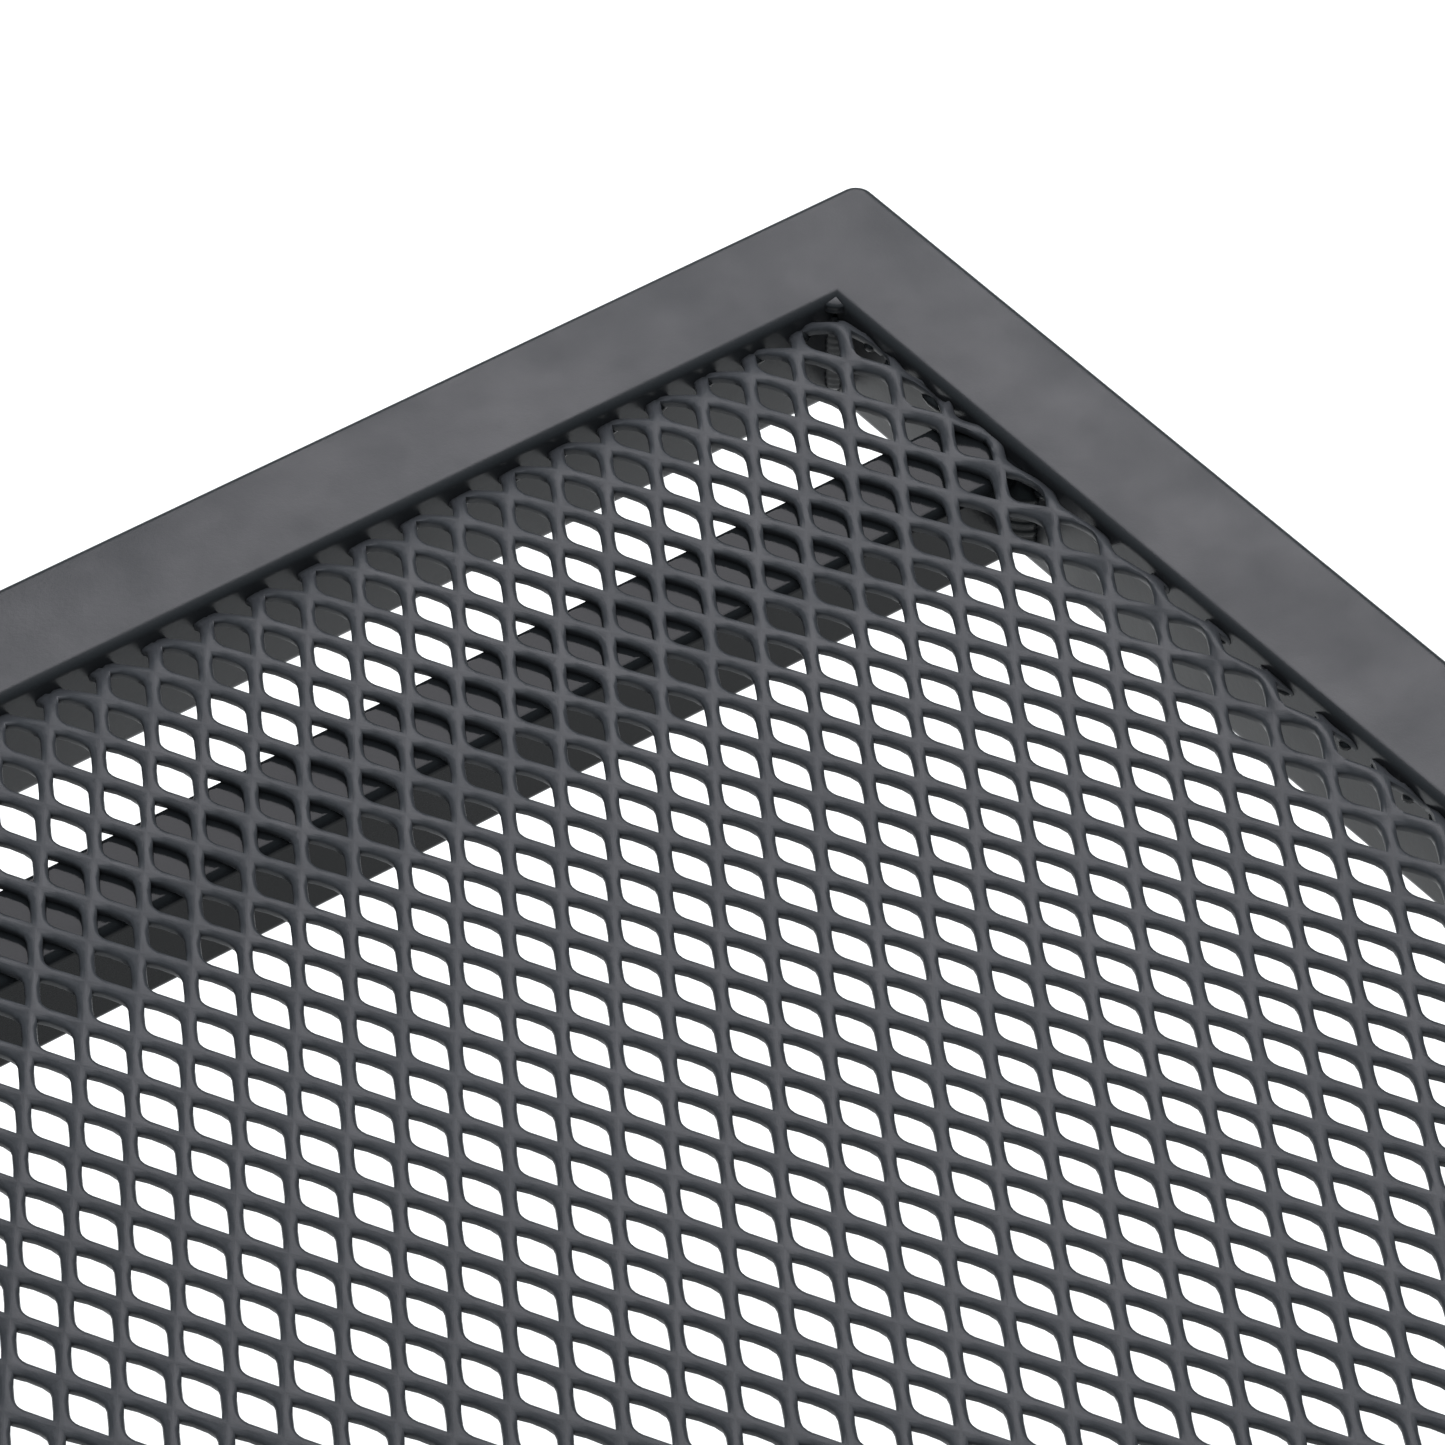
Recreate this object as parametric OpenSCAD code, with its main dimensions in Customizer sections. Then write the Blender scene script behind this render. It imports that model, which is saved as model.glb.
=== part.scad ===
// Framed expanded-metal table-top panel.
// Four mitred square tubes make the frame. Two thinner square tubes cross it under the
// mesh, and the sheet lies on them between the rails, held by tack welds.
// Origin: centre of the panel, on the plane of the rails' underside. +Z is up.
// +Y is the far rail, +X is the right rail.

/* [Panel] */
// Overall length along X
panel_x = 400; // [330:1:700]
// Overall length along Y
panel_y = 400; // [330:1:700]

/* [Rails] */
// Side of the square rail tube
rail_side = 25; // [20:1:40]
// Wall of the rail tube
rail_wall = 1.5; // [1:0.1:3]
// Outside corner radius of the rail tube
rail_radius = 2; // [1.8:0.1:3.5]

/* [Cross tubes] */
// Side of the square cross tube
cross_side = 20; // [15:1:24]
// Wall of the cross tube
cross_wall = 1.5; // [1:0.1:2.5]
// Outside corner radius of the cross tube
cross_radius = 1.8; // [1.8:0.1:3]
// Clear gap between an end rail and its cross tube
cross_gap = 36; // [15:1:90]

/* [Mesh sheet] */
// Long way of one diamond opening, along Y
mesh_long_way = 16; // [10:0.5:30]
// Short way of one diamond opening, along X
mesh_short_way = 11.1; // [6:0.1:20]
// Width of a strand
strand_width = 2.5; // [1.5:0.1:4]
// Overall depth of the expanded sheet
mesh_depth = 3; // [2:0.1:5]
// Height of the rails' top above the highest strand
mesh_recess = 1; // [0:0.1:3]
// The solid sheet keeps every n-th strand line
strand_step = 2; // [2:1:5]

/* [Welds] */
// Gap between the sheet's cut edge and a rail, filled by tack welds
sheet_gap = 1.5; // [0.5:0.1:3]
// Length of a tack weld along the rail
tack_length = 4; // [2:0.5:6]
// Height of a tack weld
tack_height = 2.4; // [1:0.1:4]
// Leg of the bead at the end of a cross tube
bead_leg = 4; // [2:0.5:6]
// Leg of the bead in an inside corner of the frame
corner_leg = 2.5; // [1.5:0.5:5]

/* [Leg inserts] */
// Distance between the two threaded inserts of one cross tube
insert_spacing = 258; // [60:1:260]
// Radius of the threaded hole, taken at the root of an M6 thread
insert_hole_r = 2.5; // [2:0.1:3.5]
// Radius of the insert's shank
insert_shank_r = 4.5; // [4:0.1:6]
// Radius of the insert's flange
insert_flange_r = 6.5; // [6.5:0.1:9]
// Thickness of the insert's flange
insert_flange_t = 1; // [0.5:0.1:2]
// Length of the insert above its flange
insert_length = 12; // [9:0.5:13]
// Radius of the bulge that grips the tube wall from inside
insert_bulge_r = 5.8; // [5:0.1:7]
// Height of that bulge
insert_bulge_t = 2.5; // [1:0.1:4]
// Radial clearance between the shank and its hole in the tube
insert_clearance = 0.05; // [0.02:0.01:0.3]

/* [Hidden] */

$fn = 48;
coat = [0.15, 0.15, 0.165];
coat_dark = [0.10, 0.11, 0.12];
zinc = [0.62, 0.62, 0.60];

// A cut runs past the body it cuts by this much.
past = 1;

inner_x = panel_x - 2 * rail_side;
inner_y = panel_y - 2 * rail_side;

// Heights above the rails' underside
mesh_top = rail_side - mesh_recess;
mesh_base = mesh_top - mesh_depth;
cross_top = mesh_base;
cross_base = cross_top - cross_side;
cross_y = inner_y / 2 - cross_gap - cross_side / 2;

// The sheet's outline inside the frame
sheet_x = inner_x - 2 * sheet_gap;
sheet_y = inner_y - 2 * sheet_gap;
step_x = mesh_short_way * strand_step / 2;
step_y = mesh_long_way * strand_step / 2;
strand_angle = atan2(step_x, step_y);
// Half width of a strand measured along X
strand_half = strand_width / (2 * cos(strand_angle));
strand_count = ceil(sheet_x / 2 / step_x) + 1;
turn_count = ceil(sheet_y / 2 / step_y) + 1;
strands_per_group = 6;

tack_mid = mesh_base + mesh_depth / 2;
tack_pitch_x = mesh_short_way;
tack_pitch_y = mesh_long_way;

corner_weld_base = rail_radius;
corner_weld_top = mesh_base - 0.5;

// Outline of a square with round corners, made of true arcs
module round_square(side, radius) {
  flat = side - 2 * radius;
  square([side, flat], center = true);
  square([flat, side], center = true);
  for (sx = [-1, 1], sy = [-1, 1])
    translate([sx * flat / 2, sy * flat / 2])
      circle(r = radius);
}

// Square tube along +X, from 0 to len, centred on its axis. The wall limits the bore's corner radius.
module square_tube(len, side, wall, radius) {
  bore_radius = max(radius - wall, 0);
  rotate([90, 0, 90])
    linear_extrude(len)
      difference() {
        round_square(side, radius);
        round_square(side - 2 * wall, bore_radius);
      }
}

// Rail along X with its outer face at +Y and a 45 degree mitre at each end
module mitred_rail(len) {
  reach = rail_side * 2;
  difference() {
    translate([-len / 2, 0, 0])
      square_tube(len, rail_side, rail_wall, rail_radius);
    for (end = [-1, 1])
      translate([end * len / 2, rail_side / 2, -reach / 2])
        linear_extrude(reach)
          polygon([[0, 0], [-end * reach, -reach], [end * reach, -reach], [end * reach, 0]]);
  }
}

module far_rail() {
  color(coat)
    translate([0, (panel_y - rail_side) / 2, rail_side / 2])
      mitred_rail(panel_x);
}

module near_rail() {
  color(coat)
    rotate([0, 0, 180])
      translate([0, (panel_y - rail_side) / 2, rail_side / 2])
        mitred_rail(panel_x);
}

module left_rail() {
  color(coat)
    rotate([0, 0, 90])
      translate([0, (panel_x - rail_side) / 2, rail_side / 2])
        mitred_rail(panel_y);
}

module right_rail() {
  color(coat)
    rotate([0, 0, -90])
      translate([0, (panel_x - rail_side) / 2, rail_side / 2])
        mitred_rail(panel_y);
}

// One cross tube between the left and right rails, with the holes of its two leg inserts
module cross_tube() {
  color(coat_dark)
    difference() {
      translate([-inner_x / 2, 0, cross_base + cross_side / 2])
        square_tube(inner_x, cross_side, cross_wall, cross_radius);
      for (side = [-1, 1])
        translate([side * insert_spacing / 2, 0, cross_base - past])
          cylinder(r = insert_shank_r + insert_clearance, h = cross_wall + 2 * past);
    }
}

module far_cross_tube() {
  translate([0, cross_y, 0]) cross_tube();
}

module near_cross_tube() {
  translate([0, -cross_y, 0]) cross_tube();
}

// One zigzag strand along Y. Neighbours meet at the bonds between the openings.
module strand(k) {
  turns = [for (j = [-turn_count : turn_count]) [(k + ((j + k) % 2 == 0 ? 0 : 1)) * step_x, j * step_y]];
  left_side = [for (p = turns) [p[0] - strand_half, p[1]]];
  right_side = [for (i = [len(turns) - 1 : -1 : 0]) [turns[i][0] + strand_half, turns[i][1]]];
  polygon(concat(left_side, right_side));
}

// The expanded sheet: zigzag strands inside a rim that stands for the cut strand ends
module mesh_sheet() {
  color(coat)
    translate([0, 0, mesh_base]) {
      intersection() {
        translate([-sheet_x / 2, -sheet_y / 2, 0])
          cube([sheet_x, sheet_y, mesh_depth]);
        union() {
          for (group = [-strand_count : strands_per_group : strand_count])
            union() {
              for (k = [group : min(group + strands_per_group - 1, strand_count)])
                linear_extrude(mesh_depth)
                  strand(k);
            }
        }
      }
      linear_extrude(mesh_depth)
        difference() {
          square([sheet_x, sheet_y], center = true);
          square([sheet_x - 2 * strand_width, sheet_y - 2 * strand_width], center = true);
        }
    }
}

// Upright bead in an inside corner of the frame, signs choose the corner
module corner_weld(sx, sy) {
  color(coat)
    translate([sx * inner_x / 2, sy * inner_y / 2, corner_weld_base])
      linear_extrude(corner_weld_top - corner_weld_base)
        polygon([[0, 0], [-sx * corner_leg, 0], [0, -sy * corner_leg]]);
}

// Two upright beads where one end of a cross tube meets a rail
module tube_weld(sx, sy) {
  color(coat_dark)
    for (face = [-1, 1])
      translate([sx * inner_x / 2, sy * cross_y + face * cross_side / 2, cross_base + cross_radius])
        linear_extrude(cross_side - 2 * cross_radius)
          polygon([[0, 0], [-sx * bead_leg, 0], [0, face * bead_leg]]);
}

// One tack weld across the gap, in its own frame: the rail's face is at y = 0
module tack() {
  translate([-tack_length / 2, -sheet_gap, tack_mid - tack_height / 2])
    cube([tack_length, sheet_gap, tack_height]);
}

// Row of tack welds along a rail's face of the given length
module tack_row(length, pitch) {
  count = floor((length / 2 - tack_length) / pitch);
  color(coat_dark)
    for (i = [-count : count])
      translate([i * pitch, 0, 0])
        tack();
}

module tack_welds_far() {
  translate([0, inner_y / 2, 0]) tack_row(inner_x, tack_pitch_x);
}

module tack_welds_near() {
  rotate([0, 0, 180]) translate([0, inner_y / 2, 0]) tack_row(inner_x, tack_pitch_x);
}

module tack_welds_left() {
  rotate([0, 0, 90]) translate([0, inner_x / 2, 0]) tack_row(inner_y, tack_pitch_y);
}

module tack_welds_right() {
  rotate([0, 0, -90]) translate([0, inner_x / 2, 0]) tack_row(inner_y, tack_pitch_y);
}

// Threaded rivet insert for a table leg, its mouth facing down
module leg_insert(sx, sy) {
  flange_base = cross_base - insert_flange_t;
  bulge_base = cross_base + cross_wall;
  color(zinc)
    translate([sx * insert_spacing / 2, sy * cross_y, 0])
      difference() {
        union() {
          translate([0, 0, flange_base])
            cylinder(r = insert_flange_r, h = insert_flange_t);
          translate([0, 0, cross_base])
            cylinder(r = insert_shank_r, h = insert_length);
          translate([0, 0, bulge_base])
            cylinder(r = insert_bulge_r, h = insert_bulge_t);
        }
        translate([0, 0, flange_base - past])
          cylinder(r = insert_hole_r, h = insert_flange_t + insert_length + 2 * past);
      }
}

far_rail();
near_rail();
left_rail();
right_rail();
far_cross_tube();
near_cross_tube();
mesh_sheet();
corner_weld(-1, 1);  // corner_weld_far_left
corner_weld(1, 1);  // corner_weld_far_right
corner_weld(-1, -1);  // corner_weld_near_left
corner_weld(1, -1);  // corner_weld_near_right
tube_weld(-1, 1);  // tube_weld_far_left
tube_weld(1, 1);  // tube_weld_far_right
tube_weld(-1, -1);  // tube_weld_near_left
tube_weld(1, -1);  // tube_weld_near_right
tack_welds_far();
tack_welds_near();
tack_welds_left();
tack_welds_right();
leg_insert(-1, 1);  // leg_insert_far_left
leg_insert(1, 1);  // leg_insert_far_right
leg_insert(-1, -1);  // leg_insert_near_left
leg_insert(1, -1);  // leg_insert_near_right
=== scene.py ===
"""Looks of the framed expanded-metal panel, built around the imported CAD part.

Lengths are metres in the row frame: +Y is the far rail, +X is the right rail, +Z is up.
"""

import math

import bmesh
import bpy
import numpy as np
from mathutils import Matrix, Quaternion, Vector


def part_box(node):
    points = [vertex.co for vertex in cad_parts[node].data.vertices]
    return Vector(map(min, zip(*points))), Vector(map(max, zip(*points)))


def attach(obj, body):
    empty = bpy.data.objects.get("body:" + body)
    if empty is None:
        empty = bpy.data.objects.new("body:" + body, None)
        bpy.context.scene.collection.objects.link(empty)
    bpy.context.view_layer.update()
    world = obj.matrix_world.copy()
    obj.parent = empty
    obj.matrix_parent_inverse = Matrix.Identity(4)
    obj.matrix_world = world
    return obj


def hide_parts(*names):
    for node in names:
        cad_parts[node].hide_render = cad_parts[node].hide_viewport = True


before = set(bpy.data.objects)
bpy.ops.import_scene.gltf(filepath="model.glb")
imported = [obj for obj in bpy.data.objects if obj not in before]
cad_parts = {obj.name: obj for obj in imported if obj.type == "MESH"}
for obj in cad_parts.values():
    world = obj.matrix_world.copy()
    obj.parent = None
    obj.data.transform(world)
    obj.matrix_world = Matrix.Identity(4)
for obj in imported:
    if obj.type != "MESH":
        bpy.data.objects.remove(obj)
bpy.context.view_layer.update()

MM = 0.001
BODY = "root"

# ---------------------------------------------------------------- measures taken from the frame
far_low, far_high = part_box("far_rail")
near_low, near_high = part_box("near_rail")
left_low, left_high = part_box("left_rail")
right_low, right_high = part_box("right_rail")
sheet_low, sheet_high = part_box("mesh_sheet")
tube_low, tube_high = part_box("far_cross_tube")
tube_near_low, tube_near_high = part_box("near_cross_tube")

INNER_RIGHT = right_low.x
INNER_LEFT = left_high.x
INNER_FAR = far_low.y
INNER_NEAR = near_high.y
RAIL_TOP = far_high.z
RAIL_SIDE = far_high.y - far_low.y
SHEET_MID = (sheet_low.z + sheet_high.z) / 2

# ---------------------------------------------------------------- expanded-metal lattice
# Openings are centred where m + k is even, bonds where it is odd.
STEP_M = np.array([5.529, 0.091]) * MM
STEP_K = np.array([0.292, 7.995]) * MM
ORIGIN = np.array([INNER_RIGHT - 128.88 * MM, INNER_FAR - 128.42 * MM])
LATTICE = np.linalg.inv(np.array([STEP_M, STEP_K]).T)
OPEN_X = 3.36 * MM
OPEN_Y = 6.3 * MM
THICK = 1.8 * MM
ROUND = 0.75 * MM
RELIEF = 0.1 * MM
CROWN = 0.10 * MM
# Lattice steps searched each way from the origin, and a strand's length in millimetres
LATTICE_REACH = 80
STRAND_MM = 9.74
# How far the sheet bends down at the far, near and left rails, and over what distance
EDGE_DROPS = (2.7 * MM, 2.0 * MM, 1.4 * MM)
EDGE_RUN = 8 * MM
# Distance over which the sheet settles onto a cross tube, and its clearance above it
SETTLE_RUN = 25 * MM
TUBE_CLEARANCE = 0.03 * MM
WALL_GAP = 0.1 * MM
FLOOR_LEVEL = -0.45


# ---------------------------------------------------------------- helpers
def add_piece(name, verts, faces, material, nodes=(), uvs=None, sharp=40):
    """A mesh piece on the body, with smooth shading that breaks at edges over the sharp angle."""
    mesh = bpy.data.meshes.new(name)
    mesh.from_pydata([tuple(v) for v in verts], [], [tuple(f) for f in faces])
    if uvs is not None:
        layer = mesh.uv_layers.new(name="strand")
        layer.data.foreach_set("uv", np.asarray(uvs, np.float32).ravel())
    mesh.update()
    obj = bpy.data.objects.new(name, mesh)
    bpy.context.scene.collection.objects.link(obj)
    return dress(obj, material, nodes, sharp)


def dress(obj, material, nodes=(), sharp=40):
    """Gives a piece its finish, shading and body, and hides the CAD nodes it replaces."""
    obj.data.materials.clear()
    obj.data.materials.append(material)
    obj.data.shade_smooth()
    obj.data.set_sharp_from_angle(angle=math.radians(sharp))
    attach(obj, BODY)
    if nodes:
        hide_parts(*nodes)
    return obj


def clean(obj, distance=1e-6):
    """Welds coincident points, drops collapsed faces and turns normals outwards."""
    bm = bmesh.new()
    bm.from_mesh(obj.data)
    bmesh.ops.remove_doubles(bm, verts=bm.verts, dist=distance)
    bmesh.ops.dissolve_degenerate(bm, edges=bm.edges, dist=distance)
    bmesh.ops.recalc_face_normals(bm, faces=bm.faces)
    bm.to_mesh(obj.data)
    bm.free()
    obj.data.update()


# ---------------------------------------------------------------- materials
def noise(nodes, links, vector, scale, detail=3.0, rough=0.55):
    tex = nodes.new("ShaderNodeTexNoise")
    tex.inputs["Scale"].default_value = scale
    tex.inputs["Detail"].default_value = detail
    tex.inputs["Roughness"].default_value = rough
    links.new(vector, tex.inputs["Vector"])
    return tex.outputs["Fac"]


def remap(nodes, links, value, low, high, from_low=0.3, from_high=0.7):
    node = nodes.new("ShaderNodeMapRange")
    node.inputs["From Min"].default_value = from_low
    node.inputs["From Max"].default_value = from_high
    node.inputs["To Min"].default_value = low
    node.inputs["To Max"].default_value = high
    links.new(value, node.inputs["Value"])
    return node.outputs["Result"]


def combine(nodes, links, op, a, b):
    node = nodes.new("ShaderNodeMath")
    node.operation = op
    for i, v in enumerate((a, b)):
        if isinstance(v, (int, float)):
            node.inputs[i].default_value = v
        else:
            links.new(v, node.inputs[i])
    return node.outputs[0]


def powder_coat(name, base, rough, peel=1.0, streaks=False, specks=True, gloss=0.5):
    """Satin powder coat: orange peel, fine grain, cloudy tone and gloss, stray specks."""
    mat = bpy.data.materials.new(name)
    mat.use_nodes = True
    nodes, links = mat.node_tree.nodes, mat.node_tree.links
    shader = nodes["Principled BSDF"]
    shader.inputs["IOR"].default_value = 1.5
    shader.inputs["Specular IOR Level"].default_value = gloss
    place = nodes.new("ShaderNodeTexCoord").outputs["Object"]

    tone = remap(nodes, links, noise(nodes, links, place, 28, 4), 0.90, 1.10)
    grain = remap(nodes, links, noise(nodes, links, place, 2600, 2), 0.93, 1.07)
    tone = combine(nodes, links, "MULTIPLY", tone, grain)
    height = noise(nodes, links, place, 900, 2)
    fine = noise(nodes, links, place, 3800, 2)
    height = combine(nodes, links, "ADD", height, combine(nodes, links, "MULTIPLY", fine, 0.35))

    if streaks:
        uv = nodes.new("ShaderNodeUVMap")
        uv.uv_map = "strand"
        stretch = nodes.new("ShaderNodeMapping")
        stretch.inputs["Scale"].default_value = (0.16, 3.2, 1)
        links.new(uv.outputs["UV"], stretch.inputs["Vector"])
        lines = noise(nodes, links, stretch.outputs["Vector"], 1.0, 3)
        tone = combine(nodes, links, "MULTIPLY", tone, remap(nodes, links, lines, 0.86, 1.14))
        height = combine(nodes, links, "ADD", height, combine(nodes, links, "MULTIPLY", lines, 0.8))

    if specks:
        dots = nodes.new("ShaderNodeTexVoronoi")
        dots.inputs["Scale"].default_value = 95
        links.new(place, dots.inputs["Vector"])
        near = remap(nodes, links, dots.outputs["Distance"], 1.0, 0.0, 0.02, 0.05)
        split = nodes.new("ShaderNodeSeparateColor")
        links.new(dots.outputs["Color"], split.inputs["Color"])
        rare = combine(nodes, links, "GREATER_THAN", split.outputs["Red"], 0.86)
        dot = combine(nodes, links, "MULTIPLY", near, rare)
        tone = combine(nodes, links, "ADD", tone, combine(nodes, links, "MULTIPLY", dot, 0.9))
        height = combine(nodes, links, "ADD", height, combine(nodes, links, "MULTIPLY", dot, 3.0))

    colour = nodes.new("ShaderNodeMix")
    colour.data_type = "RGBA"
    colour.blend_type = "MULTIPLY"
    colour.inputs["Factor"].default_value = 1.0
    colour.inputs["A"].default_value = (*base, 1)
    links.new(tone, colour.inputs["B"])
    links.new(colour.outputs["Result"], shader.inputs["Base Color"])

    cloud = noise(nodes, links, place, 55, 3)
    links.new(remap(nodes, links, cloud, rough - 0.05, rough + 0.07), shader.inputs["Roughness"])

    bump = nodes.new("ShaderNodeBump")
    bump.inputs["Strength"].default_value = 0.5 * peel
    bump.inputs["Distance"].default_value = 0.00005
    links.new(height, bump.inputs["Height"])
    links.new(bump.outputs["Normal"], shader.inputs["Normal"])
    return mat


def zinc_plate(name):
    """Zinc plate with a faint yellow tint, uneven in colour and gloss, with a fine grain."""
    mat = bpy.data.materials.new(name)
    mat.use_nodes = True
    nodes, links = mat.node_tree.nodes, mat.node_tree.links
    shader = nodes["Principled BSDF"]
    shader.inputs["Metallic"].default_value = 1.0
    place = nodes.new("ShaderNodeTexCoord").outputs["Object"]
    ramp = nodes.new("ShaderNodeValToRGB")
    ramp.color_ramp.elements[0].color = (0.44, 0.42, 0.36, 1)
    ramp.color_ramp.elements[1].color = (0.70, 0.70, 0.66, 1)
    links.new(noise(nodes, links, place, 420, 4), ramp.inputs["Fac"])
    links.new(ramp.outputs["Color"], shader.inputs["Base Color"])
    links.new(remap(nodes, links, noise(nodes, links, place, 900, 3), 0.24, 0.42), shader.inputs["Roughness"])
    bump = nodes.new("ShaderNodeBump")
    bump.inputs["Strength"].default_value = 0.3
    bump.inputs["Distance"].default_value = 0.00003
    links.new(noise(nodes, links, place, 3000, 2), bump.inputs["Height"])
    links.new(bump.outputs["Normal"], shader.inputs["Normal"])
    return mat


rail_coat = powder_coat("powder_rail", (0.0135, 0.0145, 0.0165), 0.34, gloss=0.30)
sheet_coat = powder_coat("powder_sheet", (0.0235, 0.025, 0.0285), 0.38, streaks=True, specks=False,
                         gloss=0.22)
# Same powder coat as the rails, darkened as painted shade for the tack welds at the walls and the tube weld
# beads under the deck
shaded_weld_coat = powder_coat("powder_weld_painted_shade", (0.007, 0.008, 0.009), 0.24, peel=0.7, specks=False, gloss=0.2)
# Same anthracite powder coat as the rails, with its colour darkened as painted shade for the tube tops under
# the mesh deck
shaded_tube_coat = powder_coat("powder_tube_painted_shade", (0.006, 0.0068, 0.0078), 0.13, peel=0.5, gloss=0.12)
zinc = zinc_plate("zinc_insert")


# ---------------------------------------------------------------- rails
def tube_profile(side, radius, steps):
    """Closed outline of a square tube in (depth, height), with its inside corner at the origin."""
    points = []
    for cx, cy, start in ((side - radius, side - radius, 0), (radius, side - radius, 90),
                          (radius, radius, 180), (side - radius, radius, 270)):
        for i in range(steps + 1):
            a = math.radians(start + 90 * i / steps)
            points.append((cx + radius * math.cos(a), cy + radius * math.sin(a)))
    return points


def rail(name, length, to_world):
    """A mitred hollow rail. Its outside upright corner is ground round."""
    corner = 2.0 * MM
    ground = 3.8 * MM
    wall = 1.5 * MM
    outer = tube_profile(RAIL_SIDE, corner, 8)
    inner = [(wall + d, wall + z) for d, z in tube_profile(RAIL_SIDE - 2 * wall, corner - wall, 3)]
    half_inner = length / 2 - RAIL_SIDE
    turns = [math.radians(45 + 45 * i / 5) for i in range(6)]

    def section(point, end, turn):
        depth, height = point
        reach = depth - (RAIL_SIDE - ground)
        if reach <= 0:
            along = half_inner + depth
        else:
            along = half_inner + RAIL_SIDE - ground + reach * math.cos(turn)
            depth = RAIL_SIDE - ground + reach * math.sin(turn)
        return to_world(end * along, depth, height)

    verts, faces, rings = [], [], []
    stations = [(-1, a) for a in turns] + [(1, a) for a in reversed(turns)]
    for shell in (outer, inner):
        shell_rings = []
        for end, turn in stations:
            shell_rings.append([len(verts) + i for i in range(len(shell))])
            verts += [section(p, end, turn) for p in shell]
        for a, b in zip(shell_rings, shell_rings[1:]):
            n = len(a)
            faces += [(a[i], a[(i + 1) % n], b[(i + 1) % n], b[i]) for i in range(n)]
        rings.append(shell_rings)
    mesh_obj = add_piece(name + "_coated", verts, faces, rail_coat, (name,))
    bm = bmesh.new()
    bm.from_mesh(mesh_obj.data)
    bmesh.ops.remove_doubles(bm, verts=bm.verts, dist=1e-7)
    for end in (-1, 1):
        rim = [e for e in bm.edges if e.is_boundary and
               end * along_of(e, to_world) > 0]
        bmesh.ops.bridge_loops(bm, edges=rim)
    bmesh.ops.recalc_face_normals(bm, faces=bm.faces)
    bm.to_mesh(mesh_obj.data)
    bm.free()
    mesh_obj.data.set_sharp_from_angle(angle=math.radians(40))
    return mesh_obj


def along_of(edge, to_world):
    """Signed place of an edge along its rail."""
    axis = to_world(1, 0, 0) - to_world(0, 0, 0)
    middle = (edge.verts[0].co + edge.verts[1].co) / 2
    return (middle - to_world(0, 0, 0)).dot(axis)


size_x = right_high.x - left_low.x
size_y = far_high.y - near_low.y
rail("far_rail", size_x, lambda s, d, z: Vector((s, INNER_FAR + d, z)))
rail("near_rail", size_x, lambda s, d, z: Vector((s, INNER_NEAR - d, z)))
rail("right_rail", size_y, lambda s, d, z: Vector((INNER_RIGHT + d, s, z)))
rail("left_rail", size_y, lambda s, d, z: Vector((INNER_LEFT - d, s, z)))

# The cross tubes take the darker coat: painted shade for their tops under the deck
for node in ("far_cross_tube", "near_cross_tube"):
    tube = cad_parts[node]
    tube.data.materials.clear()
    tube.data.materials.append(shaded_tube_coat)


# ---------------------------------------------------------------- expanded sheet
def lattice_of(xy):
    return (np.asarray(xy) - ORIGIN) @ LATTICE.T


def sheet_height(xy):
    """Middle surface of the sheet: the twist of the strands, and the ends pressed down at the rails."""
    xy = np.asarray(xy, float)
    mk = lattice_of(xy)
    z = -RELIEF * np.sin(math.pi * mk[:, 0]) * np.cos(math.pi * mk[:, 1])
    gaps = (INNER_FAR - xy[:, 1], xy[:, 1] - INNER_NEAR, xy[:, 0] - INNER_LEFT)
    for gap, drop in zip(gaps, EDGE_DROPS):
        z -= drop * np.clip(1 - gap / EDGE_RUN, 0, 1) ** 2
    gap = INNER_RIGHT - xy[:, 0]
    z += 0.9 * MM * np.exp(-((gap - 4.5 * MM) / (2.5 * MM)) ** 2)
    z -= 1.8 * MM * np.clip(1 - gap / (3.2 * MM), 0, 1) ** 2
    z += SHEET_MID
    rest = tube_high.z + THICK / 2 + TUBE_CLEARANCE
    for low, high in ((tube_low.y, tube_high.y), (tube_near_low.y, tube_near_high.y)):
        away = np.maximum(np.maximum(low - xy[:, 1], xy[:, 1] - high), 0)
        z -= (SHEET_MID - rest) * np.clip(1 - away / SETTLE_RUN, 0, 1) ** 2
        over = (xy[:, 1] > low - 3 * MM) & (xy[:, 1] < high + 3 * MM)
        z[over] = np.maximum(z[over], rest)
    return z


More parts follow.
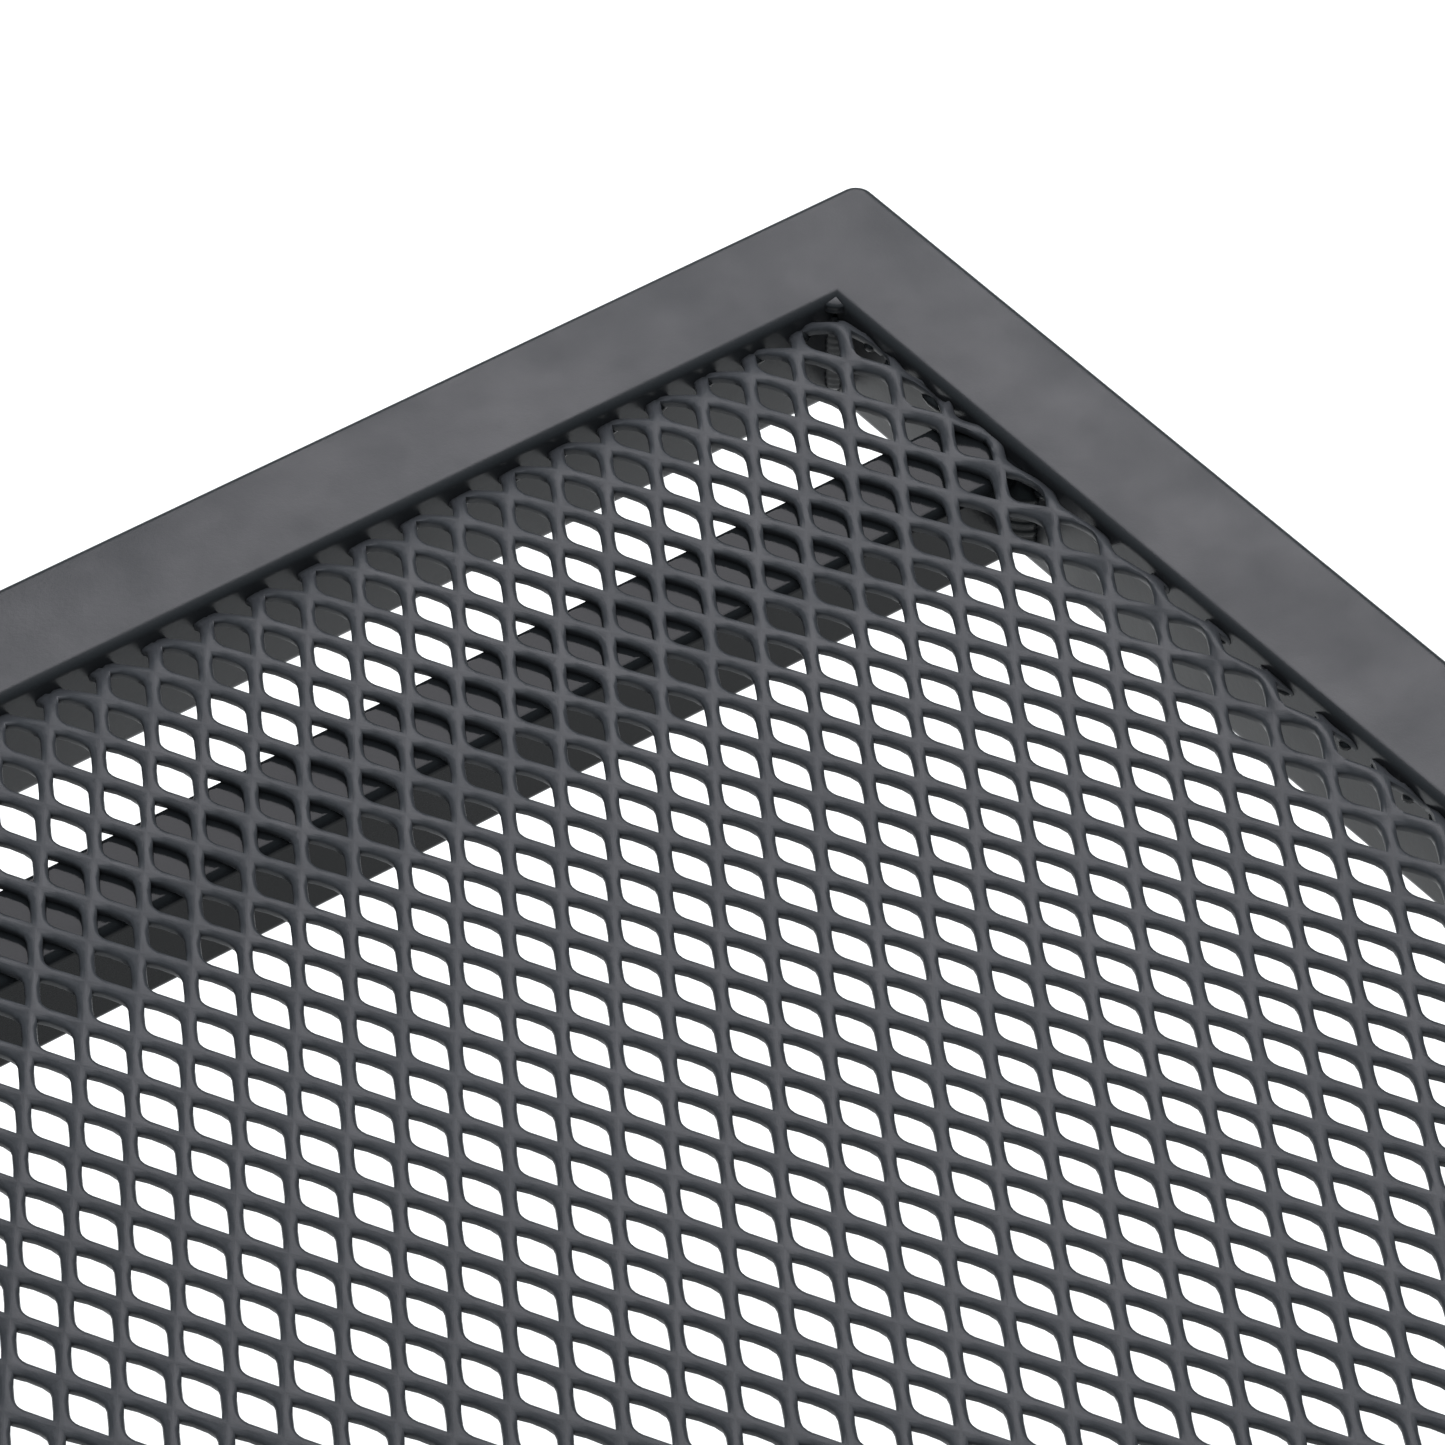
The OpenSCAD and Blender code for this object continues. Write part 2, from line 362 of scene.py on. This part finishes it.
def opening_outline():
    """Outline of one opening and the strand centre line round it, point for point, from its centre."""
    tips = [STEP_M, STEP_K, -STEP_M, -STEP_K]
    radii = [3.3 * MM, 0.35 * MM, 3.4 * MM, 0.2 * MM]
    counts = [3, 4, 3, 4]
    peaks = [t / np.linalg.norm(t) * (OPEN_X, OPEN_Y)[i % 2] for i, t in enumerate(tips)]
    corners = []
    for i in range(4):
        back, ahead = peaks[i - 1] - peaks[i], peaks[(i + 1) % 4] - peaks[i]
        corners.append((peaks[i], back / np.linalg.norm(back), ahead / np.linalg.norm(ahead)))

    def fillet(i, share):
        """A point on corner i's arc, share from -1 to 1, and its outward normal."""
        point, back, ahead = corners[i]
        radius = radii[i]
        half = math.acos(float(np.dot(back, ahead))) / 2
        bisector = (back + ahead) / np.linalg.norm(back + ahead)
        centre = point + bisector * radius / math.sin(half)
        swing = share * (math.pi / 2 - half)
        out = -bisector
        normal = np.array([out[0] * math.cos(swing) - out[1] * math.sin(swing),
                           out[0] * math.sin(swing) + out[1] * math.cos(swing)])
        return centre + normal * radius, normal

    def between(i, share):
        """A point on the straight part between corner i's arc and the next, and its outward normal."""
        a, _ = fillet(i, 1)
        b, normal = fillet((i + 1) % 4, -1)
        return a + (b - a) * share, normal

    inner = [fillet(0, 0), fillet(0, 1), between(0, 0.6), fillet(1, 0),
             between(1, 0.45), fillet(2, -1), fillet(2, -0.5), fillet(2, 0),
             fillet(2, 0.5), fillet(2, 1), fillet(3, 0),
             between(3, 0.33), between(3, 0.7), fillet(0, -1)]
    outer, along = [], []
    for i, n in enumerate(counts):
        for j in range(n):
            outer.append(tips[i] + (tips[(i + 1) % 4] - tips[i]) * j / n)
            along.append(i + j / n)
    return (np.array([p for p, _ in inner]), np.array([n for _, n in inner]),
            np.array(outer), np.array(along))


def expanded_sheet():
    inner, normal, outer, along = opening_outline()
    count = len(inner)
    half = THICK / 2
    cut = ROUND * (1 - math.cos(math.radians(45)))
    rings = [(outer, half + CROWN), (inner + normal * ROUND, half),
             (inner + normal * cut, half - cut), (inner, half - ROUND),
             (inner + normal * 0.28 * MM, -half), (outer, -half)]
    flat = np.concatenate([r for r, _ in rings])
    lift = np.concatenate([np.full(count, z) for _, z in rings])
    across = [0.0, 0.75, 1.1, 1.25, 1.6, 2.4]

    quads, uv_template = [], []
    for r in range(len(rings) - 1):
        for j in range(count):
            nxt = (j + 1) % count
            quads.append((r * count + j, r * count + nxt, (r + 1) * count + nxt, (r + 1) * count + j))
            u0 = along[j] * STRAND_MM
            u1 = (along[nxt] if nxt else 4.0) * STRAND_MM
            uv_template.append(((u0, across[r]), (u1, across[r]), (u1, across[r + 1]), (u0, across[r + 1])))
    quads = np.array(quads)
    uv_template = np.array(uv_template)

    margin = 12 * MM
    points, faces, uvs = [], [], []
    total = 0
    for m in range(-LATTICE_REACH, LATTICE_REACH):
        for k in range(-LATTICE_REACH, LATTICE_REACH):
            if (m + k) % 2:
                continue
            centre = ORIGIN + m * STEP_M + k * STEP_K
            if not (INNER_LEFT - margin < centre[0] < INNER_RIGHT + margin
                    and INNER_NEAR - margin < centre[1] < INNER_FAR + margin):
                continue
            points.append(np.column_stack([flat + centre, lift]))
            faces.append(quads + total)
            uvs.append(uv_template + np.array([(m * 7.31) % 53, (k * 3.77) % 41]))
            total += len(flat)
    points = np.concatenate(points)
    points[:, 2] += sheet_height(points[:, :2])
    faces = np.concatenate(faces)
    uvs = np.concatenate(uvs)
    keys = np.round(points / (0.002 * MM)).astype(np.int64)
    _, first, index = np.unique(keys, axis=0, return_index=True, return_inverse=True)
    index = index.ravel()

    sheet = add_piece("expanded_sheet", points[first], index[faces], sheet_coat,
                      ("mesh_sheet",), uvs.reshape(-1, 2), sharp=55)
    bm = bmesh.new()
    bm.from_mesh(sheet.data)
    walls = (((INNER_RIGHT - WALL_GAP, 0, 0), (1, 0, 0)), ((INNER_LEFT + WALL_GAP, 0, 0), (-1, 0, 0)),
             ((0, INNER_FAR - WALL_GAP, 0), (0, 1, 0)), ((0, INNER_NEAR + WALL_GAP, 0), (0, -1, 0)))
    for at, out in walls:
        geometry = bm.verts[:] + bm.edges[:] + bm.faces[:]
        bmesh.ops.bisect_plane(bm, geom=geometry, dist=1e-7, plane_co=at, plane_no=out, clear_outer=True)
        bmesh.ops.holes_fill(bm, edges=[e for e in bm.edges if e.is_boundary and all(
            abs((v.co - Vector(at)).dot(Vector(out))) < 1e-5 for v in e.verts)], sides=0)
    bmesh.ops.recalc_face_normals(bm, faces=bm.faces)
    open_edges = sum(1 for e in bm.edges if not e.is_manifold)
    bm.to_mesh(sheet.data)
    bm.free()
    sheet.data.set_sharp_from_angle(angle=math.radians(55))
    sheet.data.calc_loop_triangles()
    print("sheet triangles", len(sheet.data.loop_triangles), "open edges", open_edges)


expanded_sheet()


# ---------------------------------------------------------------- tack welds
def strand_ends(axis, wall):
    """Where strand centre lines cross the plane coordinate[axis] = wall, as places along the wall."""
    found = []
    other = 1 - axis
    for m in range(-LATTICE_REACH, LATTICE_REACH):
        for k in range(-LATTICE_REACH, LATTICE_REACH):
            if (m + k) % 2 == 0:
                continue
            start = ORIGIN + m * STEP_M + k * STEP_K
            for side in (1, -1):
                end = start + side * STEP_M - STEP_K
                if (start[axis] - wall) * (end[axis] - wall) < 0:
                    t = (wall - start[axis]) / (end[axis] - start[axis])
                    found.append(start[other] + t * (end[other] - start[other]))
    return sorted(found)


def clusters(places, low, high, join=5.5 * MM):
    groups = []
    for p in places:
        if not low < p < high:
            continue
        if groups and p - groups[-1][-1] < join:
            groups[-1].append(p)
        else:
            groups.append([p])
    return [(sum(g) / len(g), g[-1] - g[0]) for g in groups]


def blob(centre, half, into, verts, faces, seed):
    """A lumpy weld blob on a wall. into is the axis index and sign that point from the wall to the sheet."""
    lats, lons = 7, 12
    base = len(verts)
    axis, sign = into
    phase = seed * 2.399

    def surface(theta, phi):
        lump = 1 + 0.09 * math.sin(2 * phi + phase) + 0.06 * math.sin(3 * theta + 1.7 * phase)
        p = [math.sin(theta) * math.cos(phi) * half[0] * lump,
             math.sin(theta) * math.sin(phi) * half[1] * lump,
             math.cos(theta) * half[2] * lump]
        if sign * p[axis] < 0:
            p[axis] *= 0.03
        return Vector(centre) + Vector(p)

    verts.append(surface(0, 0))
    for i in range(1, lats):
        for j in range(lons):
            verts.append(surface(math.pi * i / lats, 2 * math.pi * j / lons))
    verts.append(surface(math.pi, 0))
    last = len(verts) - 1
    for j in range(lons):
        nxt = (j + 1) % lons
        faces.append((base, base + 1 + j, base + 1 + nxt))
        faces.append((last, last - lons + nxt, last - lons + j))
        for i in range(lats - 2):
            p, q = base + 1 + i * lons + j, base + 1 + i * lons + nxt
            faces.append((p, p + lons, q + lons, q))


def tack_welds(name, axis, wall, sign, low, high):
    verts, faces = [], []
    for n, (place, spread) in enumerate(clusters(strand_ends(axis, wall), low, high)):
        xy = [place, place]
        xy[axis] = wall + sign * 0.1 * MM
        z = float(sheet_height([xy])[0])
        wide = min(spread, 5 * MM) / 2 + 1.55 * MM
        half = [wide, wide, 1.15 * MM]
        half[axis] = 1.7 * MM
        blob((xy[0], xy[1], z - 0.25 * MM), half, (axis, sign), verts, faces, n)
    piece = add_piece(name + "_blobs", verts, faces, shaded_weld_coat, (name,), sharp=70)
    clean(piece, 1e-9)


edge = 2 * MM
tack_welds("tack_welds_far", 1, INNER_FAR, -1, INNER_LEFT + edge, INNER_RIGHT - edge)
tack_welds("tack_welds_near", 1, INNER_NEAR, 1, INNER_LEFT + edge, INNER_RIGHT - edge)
tack_welds("tack_welds_right", 0, INNER_RIGHT, -1, INNER_NEAR + edge, INNER_FAR - edge)
tack_welds("tack_welds_left", 0, INNER_LEFT, 1, INNER_NEAR + edge, INNER_FAR - edge)


# ---------------------------------------------------------------- weld beads
def bead(corner, dir_a, dir_b, low, high, leg, ripple, pitch, verts, faces, seed):
    """An upright bead in a right-angled corner, bulging between the two walls, with stacked ripples."""
    rows = max(12, int((high - low) / (0.35 * MM)))
    arc = 9
    base = len(verts)
    a, b = Vector(dir_a), Vector(dir_b)
    for i in range(rows + 1):
        share = i / rows
        z = low + (high - low) * share
        taper = min(1.0, 0.35 + 5 * share, 0.35 + 5 * (1 - share))
        wave = ripple * abs(math.sin(math.pi * (z / pitch) + seed))
        size = (leg + wave + 0.12 * MM * math.sin(900 * z + 3 * seed)) * taper
        verts.append(Vector((corner[0], corner[1], z)) - (a + b) * 0.2 * MM)
        for j in range(arc + 1):
            t = math.pi / 2 * j / arc
            swell = 0.74 + 0.26 * (1 - abs(2 * j / arc - 1)) ** 0.5 * 0.4
            x = size * math.cos(t) ** 1.25 * (swell + 0.26 * math.cos(t))
            y = size * math.sin(t) ** 1.25 * (swell + 0.26 * math.sin(t))
            verts.append(Vector((corner[0], corner[1], z)) + a * x + b * y)
    ring = arc + 2
    for i in range(rows):
        for j in range(ring):
            p, q = base + i * ring + j, base + i * ring + (j + 1) % ring
            faces.append((p, q, q + ring, p + ring))
    faces.append(tuple(base + j for j in reversed(range(ring))))
    faces.append(tuple(base + rows * ring + j for j in range(ring)))


sides = {"left": (-1, INNER_LEFT), "right": (1, INNER_RIGHT)}
ends = {"far": (1, INNER_FAR, tube_low, tube_high), "near": (-1, INNER_NEAR, tube_near_low, tube_near_high)}
seed = 0
for end, (sy, wall_y, low, high) in ends.items():
    for side, (sx, wall_x) in sides.items():
        seed += 1
        verts, faces = [], []
        for face_y, out in ((low.y, -1), (high.y, 1)):
            bead((wall_x, face_y), (-sx, 0, 0), (0, out, 0), low.z + 1.6 * MM, high.z - 1.2 * MM,
                 4.0 * MM, 0.35 * MM, 1.9 * MM, verts, faces, seed)
        piece = add_piece(f"tube_weld_{end}_{side}_bead", verts, faces, shaded_weld_coat,
                          (f"tube_weld_{end}_{side}",), sharp=60)
        clean(piece)
        verts, faces = [], []
        node = f"corner_weld_{end}_{side}"
        weld_low, weld_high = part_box(node)
        bead((wall_x, wall_y), (-sx, 0, 0), (0, -sy, 0), weld_low.z, weld_high.z,
             2.0 * MM, 0.2 * MM, 1.5 * MM, verts, faces, seed + 0.5)
        bead((wall_x, wall_y), (-sx, 0, 0), (0, -sy, 0), RAIL_TOP - 2.6 * MM, RAIL_TOP - 0.35 * MM,
             2.3 * MM, 0.1 * MM, 1.1 * MM, verts, faces, seed + 0.2)
        piece = add_piece(node + "_bead", verts, faces, rail_coat, (node,), sharp=60)
        clean(piece)


# ---------------------------------------------------------------- leg inserts
def insert(node):
    """A threaded rivet insert: chamfered flange, shank and bulge, helical thread in the bore."""
    low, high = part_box(node)
    centre = (low + high) / 2
    flange = (high.x - low.x) / 2
    lons, pitch = 48, 1.0 * MM
    root, crest = 2.95 * MM, 2.5 * MM
    height = high.z - low.z
    outside = [(4.4, height / MM), (4.5, height / MM - 0.15), (4.5, 4.6), (5.75, 4.2), (5.8, 3.6),
               (5.75, 2.9), (4.5, 2.5), (4.5, 1.0), (flange / MM, 1.0), (flange / MM, 0.3),
               (flange / MM - 0.3, 0.0), (3.5, 0.0), (3.0, 0.5)]
    verts, faces, rings = [], [], []

    def ring(radius_of, z_of):
        start = len(verts)
        for j in range(lons):
            a = 2 * math.pi * j / lons
            r = radius_of(a)
            verts.append(Vector((centre.x + r * math.cos(a), centre.y + r * math.sin(a), low.z + z_of(a))))
        rings.append(start)

    for r, z in outside:
        ring(lambda a, r=r: r * MM, lambda a, z=z: z * MM)
    first, last = 0.9 * MM, height - 0.5 * MM
    turns = int((last - first) / (pitch / 2)) - 2
    for n in range(turns):
        radius = root if n % 2 == 0 else crest
        ring(lambda a, r=radius: r, lambda a, n=n: first + n * pitch / 2 + pitch * a / (2 * math.pi)
             * min(1, n / 2, (turns - 1 - n) / 2))
    ring(lambda a: 3.0 * MM, lambda a: height)
    for p, q in zip(rings, rings[1:] + rings[:1]):
        faces.extend((p + j, p + (j + 1) % lons, q + (j + 1) % lons, q + j) for j in range(lons))
    piece = add_piece(node + "_thread", verts, faces, zinc, (node,), sharp=30)
    clean(piece, 1e-7)


for end in ends:
    for side in sides:
        insert(f"leg_insert_{end}_{side}")


# ---------------------------------------------------------------- studio
def plain_floor():
    """A pale paper floor."""
    half = 9
    mesh = bpy.data.meshes.new("floor")
    mesh.from_pydata([(-half, -half, FLOOR_LEVEL), (half, -half, FLOOR_LEVEL),
                       (half, half, FLOOR_LEVEL), (-half, half, FLOOR_LEVEL)], [], [(0, 1, 2, 3)])
    floor = bpy.data.objects.new("floor", mesh)
    bpy.context.scene.collection.objects.link(floor)
    mat = bpy.data.materials.new("floor_paper")
    mat.use_nodes = True
    shader = mat.node_tree.nodes["Principled BSDF"]
    shader.inputs["Base Color"].default_value = (0.90, 0.90, 0.90, 1)
    shader.inputs["Roughness"].default_value = 0.9
    mesh.materials.append(mat)


def pale_backdrop():
    """A pale wall round the floor, for low views. Only the camera sees it, so it lights nothing."""
    radius, low, high, steps = 3.4, FLOOR_LEVEL, 4.0, 96
    verts = []
    for i in range(steps):
        a = 2 * math.pi * i / steps
        verts += [(radius * math.cos(a), radius * math.sin(a), z) for z in (low, high)]
    faces = [(2 * i, 2 * ((i + 1) % steps), 2 * ((i + 1) % steps) + 1, 2 * i + 1) for i in range(steps)]
    mesh = bpy.data.meshes.new("backdrop")
    mesh.from_pydata(verts, [], faces)
    wall = bpy.data.objects.new("backdrop", mesh)
    bpy.context.scene.collection.objects.link(wall)
    mat = bpy.data.materials.new("backdrop_paper")
    mat.use_nodes = True
    shader = mat.node_tree.nodes["Principled BSDF"]
    shader.inputs["Base Color"].default_value = (0, 0, 0, 1)
    shader.inputs["Specular IOR Level"].default_value = 0
    shader.inputs["Emission Color"].default_value = (0.84, 0.85, 0.86, 1)
    shader.inputs["Emission Strength"].default_value = 1.0
    mesh.materials.append(mat)
    wall.visible_diffuse = False
    wall.visible_glossy = False
    wall.visible_transmission = False
    wall.visible_volume_scatter = False
    wall.visible_shadow = False


def area_light(name, place, target, size, power, colour=(1, 1, 1)):
    data = bpy.data.lights.new(name, "AREA")
    data.shape = "RECTANGLE"
    data.size, data.size_y = size
    data.energy = power
    data.color = colour
    light = bpy.data.objects.new(name, data)
    bpy.context.scene.collection.objects.link(light)
    light.location = place
    light.rotation_euler = (Vector(target) - Vector(place)).to_track_quat("-Z", "Y").to_euler()
    light.visible_camera = False
    return light


def studio_world():
    world = bpy.data.worlds.new("studio")
    bpy.context.scene.world = world
    world.use_nodes = True
    back = world.node_tree.nodes["Background"]
    back.inputs["Color"].default_value = (0.62, 0.95, 1.0, 1)
    back.inputs["Strength"].default_value = 0.15


AZIMUTH, ELEVATION, ROLL = math.radians(37.16), math.radians(42.74), math.radians(0.21)
VIEW_DIRECTION = Vector((math.sin(AZIMUTH) * math.cos(ELEVATION),
                         math.cos(AZIMUTH) * math.cos(ELEVATION), -math.sin(ELEVATION)))
CAMERA_PLACE = Vector((INNER_RIGHT - 650.2 * MM, INNER_FAR - 823.6 * MM, RAIL_TOP + 861.8 * MM))

plain_floor()
pale_backdrop()
studio_world()
flat_ahead = Vector((VIEW_DIRECTION.x, VIEW_DIRECTION.y, 0)).normalized()
area_light("overhead", (0, 0, 2.6), (0, 0, 0), (3.4, 3.4), 160).visible_glossy = False
to_right = Vector((flat_ahead.y, -flat_ahead.x, 0))
area_light("behind", flat_ahead * 1.75 + to_right * 0.12 + Vector((0, 0, 1.65)), (0, 0, 0),
           (1.25, 1.4), 25, (0.98, 0.95, 1.0))

camera_data = bpy.data.cameras.new("camera")
camera_data.lens = 182.3
camera_data.sensor_width = 36
camera = bpy.data.objects.new("camera", camera_data)
bpy.context.scene.collection.objects.link(camera)
camera.location = CAMERA_PLACE
turn = VIEW_DIRECTION.to_track_quat("-Z", "Y") @ Quaternion((0, 0, 1), ROLL)
camera.rotation_euler = turn.to_euler()
camera_data.clip_end = 50
bpy.context.scene.camera = camera
bpy.context.scene.view_settings.view_transform = "Standard"
